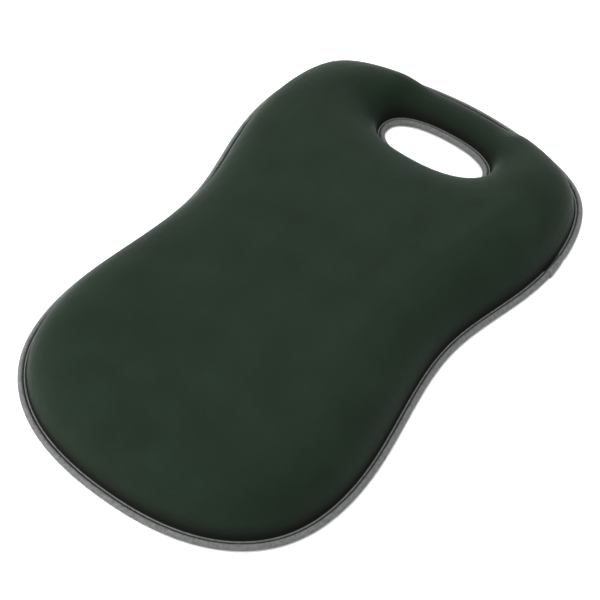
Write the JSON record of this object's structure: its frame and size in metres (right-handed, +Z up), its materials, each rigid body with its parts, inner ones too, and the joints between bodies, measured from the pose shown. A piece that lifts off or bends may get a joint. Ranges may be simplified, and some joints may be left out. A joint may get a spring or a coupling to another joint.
{
  "type": "kneeling pad",
  "caption": "Hourglass garden kneeling pad: domed neoprene cover over foam, flat base, taped sewn edge and a taped hand hole at one end.",
  "frame": {"origin": "on the ground under the middle of the pad's bounding box", "axes": "+X to the right across the pad, +Y along the pad towards the hand hole, +Z up out of the domed cover"},
  "size_m": [0.2856, 0.46, 0.042],
  "materials": {
    "cover": "dark green knitted face on neoprene, matt with a soft sheen",
    "memory_foam": "soft open-cell foam, cream",
    "firm_foam": "firm closed-cell foam, charcoal",
    "base_panel": "black coated fabric, matt",
    "binding": "grey woven tape, slight sheen",
    "thread": "dark grey polyester thread"
  },
  "bodies": {
    "root": {"top_cover": "cover", "memory_foam_layer": "memory_foam", "firm_foam_base": "firm_foam", "base_panel": "base_panel", "edge_binding": "binding", "hand_hole_binding": "binding", "edge_needle_thread": "thread", "edge_bobbin_thread": "thread", "hole_needle_thread": "thread", "hole_bobbin_thread": "thread"}
  },
  "joints": []
}
